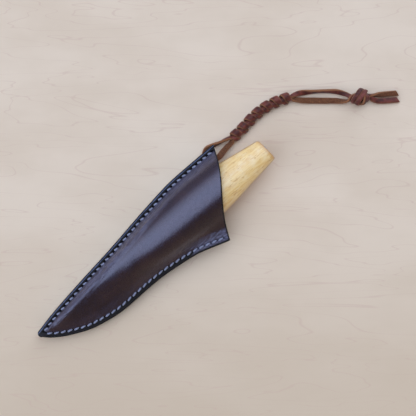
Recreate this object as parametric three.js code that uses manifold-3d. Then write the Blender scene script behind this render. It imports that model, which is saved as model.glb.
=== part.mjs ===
// A whittling knife in its stitched leather sheath, with a knotted leather lanyard.
//
// Millimetres. +X runs along the knife from the sheath's tip to the handle's butt, +Y towards
// the back of the blade, and +Z out of the sheath's front. z = 0 is the flat band of the
// sheath's back, which it lies on.
//
// The sheath is two leather panels with a welt strip glued between them along each seam.
// It is described by stations: straight lines in plan from the edge side of the outline
// (where the cutting edge lies) to the spine side, numbered s = 0 at the tip to s = 1 at the
// mouth. The stations lean further as s grows, so that the last one is the slanting mouth.

import * as THREE from 'three';
import { mergeVertices } from 'three/addons/utils/BufferGeometryUtils.js';
import Module from 'manifold-3d';

const wasm = await Module();
wasm.setup();

// ---------------------------------------------------------------- driving dimensions

const LEATHER = 2.2; // each panel
const WELT = 2.0; // the strip between them
const GLUE_LINE = 0.1;
const WELT_WIDTH = 4.6;
const STACK = LEATHER + GLUE_LINE + WELT + GLUE_LINE + LEATHER;

const STITCH_INSET = 2.9; // from the outline to the row of holes
const STITCH_PITCH = 4.0;
const STITCH_HOLE = 1.3;
const THREAD_WIDTH = 0.8;
const THREAD_DEPTH = 0.6;
const THREAD_GAP = 0.15; // between the thread and the leather that it lies on

const TIP_X = -88.9;
const EDGE_MOUTH_X = 35.6; // where the edge side of the outline ends
const SPINE_MOUTH_X = 63.1; // where the spine side ends
const MOUTH_WAVE = 1.2; // how far the mouth swings either side of a straight line in plan
const LACE_HOLE = { x: 50.2, y: 15.7, radius: 2.5 };

const KNIFE_TILT = THREE.MathUtils.degToRad(4.5); // the butt lies higher than the tip
const KNIFE_YAW = THREE.MathUtils.degToRad(0.6); // the butt lies a little towards +Y
const KNIFE_AXIS_Z = 10.2; // height of the knife's axis above x = 0
const HANDLE_FRONT_X = -16;
const HANDLE_BUTT_X = 85.4;
const BUTT_SLANT = 0.09; // the butt is sawn slightly off square
const BLADE_TIP_X = -74;
const BLADE_THICKNESS = 2.7;
const BEVEL_WIDTH = 6.5; // from the cutting edge to the shoulder of the grind
const TANG_CLEARANCE = 0.3;

const LACE_DIAMETER = 2.8;

// ---------------------------------------------------------------- curves by name

// A smooth curve y(x) through points [x, y], which doesn't overshoot them.
function through(points) {
  const slopes = points.map((point, i) => {
    if (i === 0 || i === points.length - 1) {
      const [a, b] = i === 0 ? [points[0], points[1]] : [points[i - 1], point];
      return (b[1] - a[1]) / (b[0] - a[0]);
    }
    const before = (point[1] - points[i - 1][1]) / (point[0] - points[i - 1][0]);
    const after = (points[i + 1][1] - point[1]) / (points[i + 1][0] - point[0]);
    return before * after <= 0 ? 0 : (2 * before * after) / (before + after);
  });
  return (x) => {
    const last = points.length - 2;
    const found = points.findIndex((point, i) => i > 0 && x <= point[0]) - 1;
    const i = found < 0 ? last : found;
    const [x0, y0] = points[i];
    const [x1, y1] = points[i + 1];
    const width = x1 - x0;
    const t = THREE.MathUtils.clamp((x - x0) / width, 0, 1);
    const bend0 = slopes[i] * width * (t ** 3 - 2 * t ** 2 + t);
    const bend1 = slopes[i + 1] * width * (t ** 3 - t ** 2);
    return y0 * (2 * t ** 3 - 3 * t ** 2 + 1) + y1 * (3 * t ** 2 - 2 * t ** 3) + bend0 + bend1;
  };
}

// The sheath's outline in plan, from the tip to each end of the mouth.
const edgeOutline = through([
  [TIP_X, -1.7], [-83.5, -6.9], [-73, -13.0], [-58, -18.4], [-40, -20.6],
  [-13, -19.5], [12, -21.3], [EDGE_MOUTH_X, -27.4],
]);
const spineOutline = through([
  [TIP_X, 0.7], [-76, 3.9], [-52, 8.3], [-23, 12.9], [8, 18.5], [32, 21.8], [SPINE_MOUTH_X, 22.8],
]);

// Height of the seams' underside: low at the tip, and lifted by the handle at the mouth.
const seamLift = (s) => 0.9 + 7.7 * s ** 1.8;

const axisHeight = (x) => KNIFE_AXIS_Z + x * Math.tan(KNIFE_TILT);

// Half-width and half-depth of the oval handle, along the knife's own axis.
const handleHalfWidth = through([
  [HANDLE_FRONT_X, 8.2], [0, 10.8], [20, 12.9], [35, 13.6], [48, 12.7], [66, 10.1], [HANDLE_BUTT_X, 7.2],
]);
const handleHalfDepth = through([
  [HANDLE_FRONT_X, 6.0], [0, 7.2], [20, 8.6], [37, 9.1], [60, 7.9], [HANDLE_BUTT_X, 5.4],
]);

// The blade's back and cutting edge.
const bladeBack = through([[BLADE_TIP_X, -1.5], [-66, 0.2], [-50, 2.6], [HANDLE_FRONT_X, 7.0]]);
const bladeEdge = through([
  [BLADE_TIP_X, -1.8], [-72.6, -3.6], [-69, -5.6], [-62, -7.5], [-50, -8.4], [HANDLE_FRONT_X, -8.6],
]);

// The form that the front panel was pressed over while wet: the knife with some clearance.
// The handle is widest inside the sheath, so the form stays as wide from there to the mouth.
const formRidge = through([
  [-79, -3.4], [-72, -2.2], [-55, -0.2], [-38, 1.0], [-25, 1.2], [0, 0.9], [20, 0.6], [63, 0.6],
]);
const formSpineReach = through([
  [-79, 0.8], [-72, 1.3], [-55, 2.2], [-38, 3.6], [-25, 5.4], [-16, 7.2], [0, 10.6], [20, 13.0], [36, 14.0],
]);
const formEdgeReach = through([
  [-79, 2.4], [-72, 5.3], [-55, 9.8], [-38, 10.4], [-16, 10.6], [0, 12.0], [20, 13.4], [36, 14.0],
]);
const formRise = through([
  [-79, 1.5], [-72, 2.1], [-55, 2.7], [-38, 3.2], [-25, 4.6], [-16, 6.5], [0, 7.7], [20, 9.1], [37, 9.6],
]);
// 2 is an ellipse, and less is a sharper ridge, as over the blade's back.
const formSquareness = through([[-79, 1.5], [-45, 1.5], [-12, 2.5], [63, 2.5]]);

function formTop(x, y) {
  const offset = y - formRidge(x);
  const reach = offset > 0 ? formSpineReach(x) : formEdgeReach(x);
  const ratio = Math.abs(offset) / reach;
  if (ratio >= 1) return -Infinity;
  const power = formSquareness(x);
  return axisHeight(x) + formRise(x) * (1 - ratio ** power) ** (1 / power);
}

// ---------------------------------------------------------------- solids

function closedGeometry(points, triangles) {
  const [a, b, c] = [new THREE.Vector3(), new THREE.Vector3(), new THREE.Vector3()];
  let volume = 0;
  for (const [i, j, k] of triangles) {
    volume += a.copy(points[i]).dot(b.copy(points[j]).cross(c.copy(points[k])));
  }
  const faces = volume > 0 ? triangles : triangles.map(([i, j, k]) => [i, k, j]);
  const geometry = new THREE.BufferGeometry().setFromPoints(points);
  geometry.setIndex(faces.flat());
  return geometry;
}

// A closed body through rings of points. Each end is closed between the ring's two halves.
function loft(rings) {
  const size = rings[0].length;
  const triangles = [];
  const quad = (a, b, c, d) => triangles.push([a, b, c], [a, c, d]);
  for (let i = 0; i < rings.length - 1; i++) {
    for (let k = 0; k < size; k++) {
      const next = (k + 1) % size;
      quad(i * size + k, (i + 1) * size + k, (i + 1) * size + next, i * size + next);
    }
  }
  const end = (rings.length - 1) * size;
  for (let k = 0; k < size / 2 - 1; k++) {
    const across = size - 1 - k;
    quad(k, k + 1, across - 1, across);
    quad(end + k, end + across, end + across - 1, end + k + 1);
  }
  return closedGeometry(rings.flat(), triangles);
}

function solid(geometry) {
  const bare = geometry.clone();
  bare.deleteAttribute('normal');
  bare.deleteAttribute('uv');
  const merged = mergeVertices(bare, 1e-4);
  return new wasm.Manifold(new wasm.Mesh({
    numProp: 3,
    vertProperties: Float32Array.from(merged.attributes.position.array),
    triVerts: Uint32Array.from(merged.index.array),
  }));
}

function geometryOf(manifold) {
  const mesh = manifold.getMesh();
  const geometry = new THREE.BufferGeometry();
  geometry.setAttribute('position', new THREE.BufferAttribute(mesh.vertProperties, 3));
  geometry.setIndex(new THREE.BufferAttribute(mesh.triVerts, 1));
  return geometry;
}

const cut = (geometry, ...tools) => geometryOf(
  tools.reduce((body, tool) => body.subtract(solid(tool)), solid(geometry)),
);

function meshOf(name, geometry, material) {
  const mesh = new THREE.Mesh(geometry, material);
  mesh.name = name;
  geometry.computeVertexNormals();
  return mesh;
}

// ---------------------------------------------------------------- materials

const surface = (color, roughness, metalness = 0) => (
  new THREE.MeshStandardMaterial({ color, roughness, metalness })
);
const leather = surface(0x2c2122, 0.35);
const weltLeather = surface(0x1d1617, 0.6);
const thread = surface(0x4a4450, 0.5);
const lace = surface(0x6e4038, 0.7);
const birch = surface(0xe0c48a, 0.45);
const steel = surface(0xb6babd, 0.3, 1);

// ---------------------------------------------------------------- the sheath's stations

const outlinePoint = (side, s) => {
  if (side === 'edge') {
    const x = THREE.MathUtils.lerp(TIP_X, EDGE_MOUTH_X, s);
    return new THREE.Vector2(x, edgeOutline(x));
  }
  const x = THREE.MathUtils.lerp(TIP_X, SPINE_MOUTH_X, s);
  return new THREE.Vector2(x, spineOutline(x));
};

function station(s) {
  const start = outlinePoint('edge', s);
  const across = outlinePoint('spine', s).sub(start);
  const width = across.length();
  const direction = across.normalize();
  return { s, start, direction, width };
}

// A point on a station's line, w across from the edge side, at height z.
function placed({ s, start, direction, width }, w, z) {
  const wave = MOUTH_WAVE * s ** 3 * Math.sin((2 * Math.PI * w) / width);
  return new THREE.Vector3(start.x + direction.x * w - wave, start.y + direction.y * w, z);
}

// How far along the station's line a square distance in from the outline lies.
function inset(line, side, distance) {
  const step = 0.002;
  const ahead = outlinePoint(side, Math.min(line.s + step, 1));
  const behind = outlinePoint(side, Math.max(line.s - step, 0));
  const run = ahead.sub(behind).normalize();
  return distance / Math.abs(run.cross(line.direction));
}

// The width of the flat flange on one side, which narrows where the two meet at the tip.
const flange = (line, side) => Math.min(inset(line, side, WELT_WIDTH), line.width * 0.46);

const STATION_COUNT = 26;
const stations = Array.from({ length: STATION_COUNT }, (_, i) => (
  station((i / (STATION_COUNT - 1)) ** 1.15)
));

// ---------------------------------------------------------------- the sheath's panels

// The upper hull of points [w, z] sorted by w: leather pulled tight over them.
function tightOver(points) {
  const hull = [];
  for (const point of points) {
    while (hull.length > 1) {
      const [a, b] = hull.slice(-2);
      const turn = (b[0] - a[0]) * (point[1] - a[1]) - (b[1] - a[1]) * (point[0] - a[0]);
      if (turn < 0) break;
      hull.pop();
    }
    hull.push(point);
  }
  return hull;
}

// The same profile cut into steps of equal length.
function evenly(profile, count) {
  const reach = [0];
  for (let i = 1; i < profile.length; i++) {
    const [dw, dz] = [profile[i][0] - profile[i - 1][0], profile[i][1] - profile[i - 1][1]];
    reach.push(reach[i - 1] + Math.hypot(dw, dz));
  }
  return Array.from({ length: count + 1 }, (_, k) => {
    const goal = (reach.at(-1) * k) / count;
    const i = Math.min(Math.max(reach.findIndex((length) => length >= goal - 1e-9), 1), reach.length - 1);
    const t = (goal - reach[i - 1]) / (reach[i] - reach[i - 1]);
    const [a, b] = [profile[i - 1], profile[i]];
    return [a[0] + (b[0] - a[0]) * t, a[1] + (b[1] - a[1]) * t];
  });
}

function softened(profile, passes) {
  let soft = profile;
  for (let pass = 0; pass < passes; pass++) {
    soft = soft.map((point, i) => {
      if (i === 0 || i === soft.length - 1) return point;
      return [0, 1].map((axis) => (soft[i - 1][axis] + 2 * point[axis] + soft[i + 1][axis]) / 4);
    });
  }
  return soft;
}

const FORM_SAMPLES = 48;
const PANEL_COLUMNS = 16; // between the flanges

// The front panel's inner face at one station: flat flanges, and leather drawn over the form.
function frontProfile(line) {
  const level = seamLift(line.s) + LEATHER + GLUE_LINE + WELT + GLUE_LINE;
  const left = flange(line, 'edge');
  const right = line.width - flange(line, 'spine');
  const pulled = [[left, level]];
  for (let k = 1; k < FORM_SAMPLES; k++) {
    const w = THREE.MathUtils.lerp(left, right, k / FORM_SAMPLES);
    const { x, y } = placed(line, w, 0);
    const z = formTop(x, y);
    if (z > level) pulled.push([w, z]);
  }
  pulled.push([right, level]);
  const drawn = softened(evenly(tightOver(pulled), FORM_SAMPLES), 4);
  return [[0, level], ...evenly(drawn, PANEL_COLUMNS), [line.width, level]];
}

// The same profile moved outwards by the leather's thickness.
function thickened(profile, thickness) {
  const last = profile.length - 1;
  return profile.map(([w, z], i) => {
    if (i < 2 || i > last - 2) return [w, z + thickness];
    const [dw, dz] = [profile[i + 1][0] - profile[i - 1][0], profile[i + 1][1] - profile[i - 1][1]];
    const length = Math.hypot(dw, dz);
    return [w - (dz / length) * thickness, z + (dw / length) * thickness];
  });
}

const BACK_COLUMNS = 10;
const BACK_SLOPE_WIDTH = 9; // where the back rises from its flat band to the lifted seams

// The back panel's outer face at one station: a flat band on z = 0 between the lifted seams.
function backProfile(line) {
  const left = flange(line, 'edge');
  const right = line.width - flange(line, 'spine');
  const slope = Math.min(BACK_SLOPE_WIDTH, (right - left) * 0.4);
  const profile = [[0, seamLift(line.s)]];
  for (let k = 0; k <= BACK_COLUMNS; k++) {
    const w = THREE.MathUtils.lerp(left, right, k / BACK_COLUMNS);
    const depth = Math.min(w - left, right - w) / slope;
    profile.push([w, seamLift(line.s) * (1 - THREE.MathUtils.smoothstep(depth, 0, 1))]);
  }
  profile.push([line.width, seamLift(line.s)]);
  return profile;
}

const ring = (line, lower, upper) => [
  ...lower.map(([w, z]) => placed(line, w, z)),
  ...upper.map(([w, z]) => placed(line, w, z)).reverse(),
];

const frontPanel = loft(stations.map((line) => {
  const inner = frontProfile(line);
  return ring(line, inner, thickened(inner, LEATHER));
}));

const backPanel = loft(stations.map((line) => {
  const outer = backProfile(line);
  return ring(line, outer, outer.map(([w, z]) => [w, z + LEATHER]));
}));

function weltStrip(side) {
  return loft(stations.map((line) => {
    const z = seamLift(line.s) + LEATHER + GLUE_LINE;
    const width = flange(line, side);
    const [from, to] = side === 'edge' ? [0, width] : [line.width - width, line.width];
    return ring(line, [[from, z], [to, z]], [[from, z + WELT], [to, z + WELT]]);
  }));
}

// ---------------------------------------------------------------- the seams

// One row of stitches: a curve in plan a set distance in from the outline.
class Seam extends THREE.Curve {
  constructor(side, from, to) {
    super();
    Object.assign(this, { side, from, to });
  }

  stationAt(t) {
    return THREE.MathUtils.lerp(this.from, this.to, t);
  }

  getPoint(t) {
    const line = station(this.stationAt(t));
    const w = inset(line, this.side, STITCH_INSET);
    return placed(line, this.side === 'edge' ? w : line.width - w, 0);
  }

  stitchCount() {
    return Math.round(this.getLength() / STITCH_PITCH);
  }

  // Plan position, direction and lift at a fraction of the seam's length.
  frame(fraction) {
    const u = THREE.MathUtils.clamp(fraction, 0, 1);
    const lift = seamLift(this.stationAt(this.getUtoTmapping(u)));
    return { point: this.getPointAt(u), run: this.getTangentAt(u), lift };
  }
}

const seams = {
  edge: new Seam('edge', 0.035, 0.975),
  spine: new Seam('spine', 0.03, 0.985),
};

// The awl's square holes through all three layers.
function stitchHoles(seam) {
  const count = seam.stitchCount();
  return Array.from({ length: count + 1 }, (_, i) => {
    const { point, run } = seam.frame(i / count);
    const hole = new THREE.BoxGeometry(STITCH_HOLE, STITCH_HOLE, 60);
    hole.rotateZ(Math.atan2(run.y, run.x));
    return hole.translate(point.x, point.y, 0);
  });
}

// The thread: bars along the front and the back, joined through every hole. It is cut into
// cells along the seam (a column, a gap, a column ...) and in height (bar, middle, bar).
function seamThread(seam) {
  const count = seam.stitchCount();
  const length = seam.getLength();
  const half = THREAD_WIDTH / 2;
  const low = -THREAD_GAP - THREAD_DEPTH;
  const high = STACK + THREAD_GAP + THREAD_DEPTH;
  const levels = [low, low + THREAD_DEPTH, high - THREAD_DEPTH, high];
  const steps = Array.from({ length: count + 1 }, (_, i) => (length * i) / count)
    .flatMap((along) => [along - half, along + half]);

  const points = [];
  for (const along of steps) {
    const { point, run, lift } = seam.frame(along / length);
    const beyond = along - THREE.MathUtils.clamp(along, 0, length);
    for (const level of levels) {
      for (const aside of [-half, half]) {
        const x = point.x + run.x * beyond - run.y * aside;
        const y = point.y + run.y * beyond + run.x * aside;
        points.push(new THREE.Vector3(x, y, level + lift));
      }
    }
  }
  const corner = (step, level, side) => (step * levels.length + level) * 2 + side;
  const filled = (step, level) => (
    step >= 0 && step < steps.length - 1 && level >= 0 && level < 3 && (step % 2 === 0 || level !== 1)
  );
  const triangles = [];
  const quad = (a, b, c, d) => triangles.push([a, b, c], [a, c, d]);
  const wall = ([stepA, levelA], [stepB, levelB]) => quad(
    corner(stepA, levelA, 0), corner(stepA, levelA, 1), corner(stepB, levelB, 1), corner(stepB, levelB, 0),
  );
  for (let step = 0; step < steps.length - 1; step++) {
    for (let level = 0; level < 3; level++) {
      if (!filled(step, level)) continue;
      const around = [[step, level], [step + 1, level], [step + 1, level + 1], [step, level + 1]];
      quad(...around.map(([i, j]) => corner(i, j, 0)));
      quad(...around.map(([i, j]) => corner(i, j, 1)).reverse());
      if (!filled(step, level - 1)) wall(around[0], around[1]);
      if (!filled(step + 1, level)) wall(around[1], around[2]);
      if (!filled(step, level + 1)) wall(around[2], around[3]);
      if (!filled(step - 1, level)) wall(around[3], around[0]);
    }
  }
  return closedGeometry(points, triangles);
}

const laceHole = new THREE.CylinderGeometry(LACE_HOLE.radius, LACE_HOLE.radius, 40, 12)
  .rotateX(Math.PI / 2).translate(LACE_HOLE.x, LACE_HOLE.y, 0);

const sheath = new THREE.Group();
const holes = { edge: stitchHoles(seams.edge), spine: stitchHoles(seams.spine) };
sheath.add(meshOf('front_panel', cut(frontPanel, ...holes.edge, ...holes.spine), leather));
sheath.add(meshOf('back_panel', cut(backPanel, ...holes.edge, ...holes.spine, laceHole), leather));
for (const side of ['edge', 'spine']) {
  sheath.add(meshOf(`${side}_welt`, cut(weltStrip(side), ...holes[side]), weltLeather));
  sheath.add(meshOf(`${side}_seam_thread`, seamThread(seams[side]), thread));
}

// ---------------------------------------------------------------- the knife

// An oval ring across the knife's axis.
function oval(x, halfWidth, halfDepth, count = 28, squareness = 2.2) {
  return Array.from({ length: count }, (_, i) => {
    const angle = ((i + 0.5) / count) * 2 * Math.PI;
    const [c, s] = [Math.cos(angle), Math.sin(angle)];
    const y = Math.sign(s) * Math.abs(s) ** (2 / squareness) * halfWidth;
    const z = Math.sign(c) * Math.abs(c) ** (2 / squareness) * halfDepth;
    return new THREE.Vector3(x, y, z);
  });
}

const plate = (x, yLow, yHigh, halfDepth) => [
  [yHigh, halfDepth], [yHigh, -halfDepth], [yLow, -halfDepth], [yLow, halfDepth],
].map(([y, z]) => new THREE.Vector3(x, y, z));

const TANG_FRONT = 4.0; // half its width at the blade
const TANG_END = 2.2; // half its width at the butt

function handleGeometry() {
  const edgeRadius = 1.2;
  const xs = [HANDLE_FRONT_X, HANDLE_FRONT_X + edgeRadius, -8, 0, 10, 20, 30, 38, 46, 56, 66, 76,
    HANDLE_BUTT_X - edgeRadius, HANDLE_BUTT_X];
  const outside = loft(xs.map((x, i) => {
    const rounded = i === 0 || i === xs.length - 1 ? edgeRadius * 0.8 : 0;
    const slant = BUTT_SLANT * THREE.MathUtils.smoothstep(x, 56, HANDLE_BUTT_X);
    return oval(x, handleHalfWidth(x) - rounded, handleHalfDepth(x) - rounded)
      .map((point) => point.setX(point.x - slant * point.y));
  }));
  const front = TANG_FRONT + TANG_CLEARANCE;
  const end = TANG_END + TANG_CLEARANCE;
  const halfDepth = BLADE_THICKNESS / 2 + TANG_CLEARANCE;
  const slot = loft([
    plate(HANDLE_FRONT_X - 1, -front, front, halfDepth),
    plate(HANDLE_BUTT_X + 1, -end, end, halfDepth),
  ]);
  return cut(outside, slot);
}

// The blade's section: flat sides, and a single bevel each side down to the edge.
function bladeRing(x) {
  const [back, edge] = [bladeBack(x), bladeEdge(x)];
  const height = back - edge;
  const full = Math.min(1, height / BEVEL_WIDTH);
  const flat = Math.max((BLADE_THICKNESS / 2) * full, 0.1);
  const shoulder = edge + Math.min(BEVEL_WIDTH, height * 0.9);
  const keen = 0.06;
  return [
    [back, flat], [shoulder, flat], [edge, keen], [edge, -keen], [shoulder, -flat], [back, -flat],
  ].map(([y, z]) => new THREE.Vector3(x, y, z));
}

function bladeGeometry() {
  const heel = HANDLE_FRONT_X - TANG_CLEARANCE;
  const xs = [BLADE_TIP_X, -73.4, -72.6, -71, -69, -66, -62, -56, -50, -40, -28, heel];
  const tangHalfDepth = BLADE_THICKNESS / 2 - 0.05;
  const tang = loft([
    plate(heel - 4, -TANG_FRONT, TANG_FRONT, tangHalfDepth),
    plate(HANDLE_BUTT_X + 0.2, -TANG_END, TANG_END, tangHalfDepth),
  ]);
  return geometryOf(solid(loft(xs.map(bladeRing))).add(solid(tang)));
}

const knife = new THREE.Group();
knife.position.z = KNIFE_AXIS_Z;
knife.rotation.set(0, -KNIFE_TILT, KNIFE_YAW, 'ZYX');
knife.add(meshOf('handle', handleGeometry(), birch));
knife.add(meshOf('blade', bladeGeometry(), steel));

// ---------------------------------------------------------------- the lanyard

const curveOf = (points) => new THREE.CatmullRomCurve3(points.map((p) => new THREE.Vector3(...p)));

function tube(points, steps) {
  const section = new THREE.Shape(Array.from({ length: 8 }, (_, i) => {
    const angle = ((i + 0.5) / 8) * 2 * Math.PI;
    const radius = LACE_DIAMETER / 2;
    return new THREE.Vector2(Math.cos(angle) * radius, Math.sin(angle) * radius);
  }));
  return new THREE.ExtrudeGeometry(section, { extrudePath: curveOf(points), steps, bevelEnabled: false });
}

// A body of round rings along a curve: radii are [fraction of its length, across, up].
function knotted(points, radii, sides = 10) {
  const curve = curveOf(points);
  return loft(radii.map(([fraction, across, up]) => {
    const centre = curve.getPointAt(fraction);
    const run = curve.getTangentAt(fraction).setZ(0).normalize();
    return Array.from({ length: sides }, (_, i) => {
      const angle = ((i + 0.5) / sides) * 2 * Math.PI;
      const aside = Math.cos(angle) * across;
      return new THREE.Vector3(
        centre.x - run.y * aside, centre.y + run.x * aside, centre.z + Math.sin(angle) * up,
      );
    });
  }));
}

const KNOT_COUNT = 7;
const braidRoute = [
  [74.6, 19.2, 3.4], [78.5, 19.2, 3.5], [83.7, 19.8, 3.5], [89.7, 20.8, 3.5], [95.2, 21.3, 3.5],
  [100.8, 21.2, 3.5], [107.4, 20.0, 3.5], [113.6, 17.9, 3.5], [117.0, 16.4, 3.3],
];

function braidGeometry() {
  const radii = [[0, 2.4, 2.4]];
  for (let i = 0; i < KNOT_COUNT; i++) {
    const [from, middle, to] = [0.12, 0.5, 0.88].map((part) => (i + part) / KNOT_COUNT);
    radii.push([from, 3.1, 2.9], [middle, 4.0, 3.3], [to, 3.1, 2.9]);
  }
  radii.push([1, 2.2, 2.4]);
  return knotted(braidRoute, radii);
}

const lanyardTubes = {
  lace_leg_outer: [
    [50.2, 15.7, 6.5], [50.4, 15.9, 4.6], [52.4, 18.3, 2.2], [55.5, 22.3, 1.7], [58.6, 24.1, 1.7],
    [62.4, 23.5, 1.7], [67.0, 21.8, 2.0], [70.5, 21.0, 2.6], [74.0, 20.7, 3.2],
  ],
  lace_leg_inner: [
    [50.2, 15.7, 7.4], [50.4, 15.7, 9.0], [52.8, 15.6, 10.6], [57.2, 15.3, 10.6], [61.4, 15.2, 9.3],
    [65.2, 16.4, 6.1], [69.3, 17.4, 3.5], [72.0, 17.6, 3.0], [74.0, 17.6, 3.2],
  ],
  lace_strand_upper: [
    [118.1, 17.4, 3.0], [123.0, 15.3, 1.9], [129.7, 11.1, 1.6], [135.9, 6.6, 1.6], [141.7, 1.6, 1.7],
    [145.5, -3.2, 2.4],
  ],
  lace_strand_lower: [
    [117.2, 14.3, 2.8], [121.8, 10.9, 1.7], [129.5, 4.6, 1.5], [137.2, -1.7, 1.6], [143.7, -7.1, 2.2],
  ],
  lace_tail_upper: [[155.0, -11.6, 2.4], [158.2, -13.9, 1.6], [161.8, -16.4, 1.5], [170.2, -22.0, 1.5]],
  lace_tail_lower: [[153.1, -14.3, 2.3], [156.2, -17.0, 1.6], [160.8, -20.6, 1.5], [167.3, -24.8, 1.5]],
};

const lanyard = new THREE.Group();
for (const [name, route] of Object.entries(lanyardTubes)) {
  lanyard.add(meshOf(name, tube(route, route.length * 2), lace));
}
lanyard.add(meshOf('lace_braid', braidGeometry(), lace));
lanyard.add(meshOf('lace_end_knot', knotted(
  [[145.9, -6.3, 4.1], [149.5, -8.9, 4.2], [153.3, -11.6, 4.1]],
  [[0, 2.6, 2.2], [0.2, 4.3, 3.5], [0.5, 5.0, 4.1], [0.8, 4.3, 3.5], [1, 2.6, 2.2]],
  12,
), lace));

const object = new THREE.Group();
object.add(sheath, knife, lanyard);

export default object;
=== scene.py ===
"""A whittling knife in its stitched leather sheath, with a knotted leather lanyard.

Lengths are in millimetres until a mesh is made. The frame is the CAD's: +X along the knife from
the sheath's tip to the handle's butt, +Y towards the blade's back, +Z out of the sheath's front.
"""

import math

import bmesh
import bpy
import numpy as np
from mathutils import Matrix, Vector


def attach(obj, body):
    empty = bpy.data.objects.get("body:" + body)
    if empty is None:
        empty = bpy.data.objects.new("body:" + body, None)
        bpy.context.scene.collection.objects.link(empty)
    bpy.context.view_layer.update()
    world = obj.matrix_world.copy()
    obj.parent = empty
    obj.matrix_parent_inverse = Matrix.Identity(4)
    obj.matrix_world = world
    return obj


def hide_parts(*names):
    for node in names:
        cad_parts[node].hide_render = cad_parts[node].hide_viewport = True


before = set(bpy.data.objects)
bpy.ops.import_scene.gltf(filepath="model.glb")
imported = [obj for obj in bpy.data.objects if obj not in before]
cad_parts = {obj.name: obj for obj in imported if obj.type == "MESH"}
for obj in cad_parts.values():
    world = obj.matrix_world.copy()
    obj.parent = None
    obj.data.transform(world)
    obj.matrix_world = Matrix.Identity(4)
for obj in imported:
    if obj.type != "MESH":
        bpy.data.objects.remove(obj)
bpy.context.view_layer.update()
MM = 0.001

# ------------------------------------------------------------------ shared with the CAD part

LEATHER = 2.2
WELT = 2.0
GLUE_LINE = 0.1
WELT_WIDTH = 4.6
STACK = LEATHER + GLUE_LINE + WELT + GLUE_LINE + LEATHER
STITCH_INSET = 2.9
STITCH_PITCH = 4.0

TIP_X = -88.9
MOUTH_X = {"edge": 35.6, "spine": 63.1}
MOUTH_WAVE = 1.2
LACE_HOLE = (50.2, 15.7)
LACE_HOLE_RADIUS = 2.5

KNIFE_TILT = math.radians(4.5)
KNIFE_YAW = math.radians(0.6)
KNIFE_AXIS_Z = 10.2
HANDLE_FRONT_X = -16.0
HANDLE_BUTT_X = 85.4
BUTT_SLANT = 0.09
BLADE_TIP_X = -74.0
BLADE_THICKNESS = 2.7
BEVEL_WIDTH = 6.5
TANG_CLEARANCE = 0.3
TANG_FRONT = 4.0
TANG_END = 2.2


def smooth(x):
    """0 to 1 with a soft start and end."""
    t = np.clip(x, 0, 1)
    return t * t * (3 - 2 * t)


def through(points):
    """A smooth curve y(x) through points (x, y), which doesn't overshoot them."""
    xs, ys = np.array(points, float).T
    chord = np.diff(ys) / np.diff(xs)
    before, after = chord[:-1], chord[1:]
    same_way = before * after > 0
    middle = np.where(same_way, 2 * before * after / np.where(same_way, before + after, 1), 0)
    slopes = np.concatenate([chord[:1], middle, chord[-1:]])

    def curve(x):
        i = np.clip(np.searchsorted(xs, x) - 1, 0, len(xs) - 2)
        width = xs[i + 1] - xs[i]
        t = np.clip((x - xs[i]) / width, 0, 1)
        bend = slopes[i] * (t**3 - 2 * t**2 + t) + slopes[i + 1] * (t**3 - t**2)
        return ys[i] * (2 * t**3 - 3 * t**2 + 1) + ys[i + 1] * (3 * t**2 - 2 * t**3) + bend * width

    return curve


OUTLINE = {
    "edge": through([
        (TIP_X, -1.7), (-83.5, -6.9), (-73, -13.0), (-58, -18.4), (-40, -20.6),
        (-13, -19.5), (12, -21.3), (MOUTH_X["edge"], -27.4),
    ]),
    "spine": through([
        (TIP_X, 0.7), (-76, 3.9), (-52, 8.3), (-23, 12.9), (8, 18.5), (32, 21.8),
        (MOUTH_X["spine"], 22.8),
    ]),
}
handle_half_width = through([
    (HANDLE_FRONT_X, 8.2), (0, 10.8), (20, 12.9), (35, 13.6), (48, 12.7), (66, 10.1),
    (HANDLE_BUTT_X, 7.2),
])
handle_half_depth = through([
    (HANDLE_FRONT_X, 6.0), (0, 7.2), (20, 8.6), (37, 9.1), (60, 7.9), (HANDLE_BUTT_X, 5.4),
])
blade_back = through([(BLADE_TIP_X, -1.5), (-66, 0.2), (-50, 2.6), (HANDLE_FRONT_X, 7.0)])
blade_edge = through([
    (BLADE_TIP_X, -1.8), (-72.6, -3.6), (-69, -5.6), (-62, -7.5), (-50, -8.4),
    (HANDLE_FRONT_X, -8.6),
])
form_ridge = through([
    (-79, -3.4), (-72, -2.2), (-55, -0.2), (-38, 1.0), (-25, 1.2), (0, 0.9), (20, 0.6), (63, 0.6),
])
form_spine_reach = through([
    (-79, 0.8), (-72, 1.3), (-55, 2.2), (-38, 3.6), (-25, 5.4), (-16, 7.2), (0, 10.6), (20, 13.0),
    (36, 14.0),
])
form_edge_reach = through([
    (-79, 2.4), (-72, 5.3), (-55, 9.8), (-38, 10.4), (-16, 10.6), (0, 12.0), (20, 13.4), (36, 14.0),
])
form_rise = through([
    (-79, 1.5), (-72, 2.1), (-55, 2.7), (-38, 3.2), (-25, 4.6), (-16, 6.5), (0, 7.7), (20, 9.1),
    (37, 9.6),
])
form_squareness = through([(-79, 1.5), (-45, 1.5), (-12, 2.5), (63, 2.5)])


def seam_lift(s):
    """How high the sheath's seams stand above the table, from the tip (0) to the mouth (1)."""
    return 0.9 + 7.7 * np.maximum(s, 0) ** 1.8


def axis_height(x):
    """Height of the knife's axis."""
    return KNIFE_AXIS_Z + x * math.tan(KNIFE_TILT)


FAR_BELOW = -1e3  # a height for places that the form doesn't reach


def form_top(x, y):
    """Height of the form that the front panel is drawn over."""
    offset = y - form_ridge(x)
    reach = np.where(offset > 0, form_spine_reach(x), form_edge_reach(x))
    ratio = np.minimum(np.abs(offset) / reach, 1)
    squareness = form_squareness(x)
    top = axis_height(x) + form_rise(x) * (1 - ratio**squareness) ** (1 / squareness)
    return np.where(ratio < 1, top, FAR_BELOW)


# ------------------------------------------------------------------ camera

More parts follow.
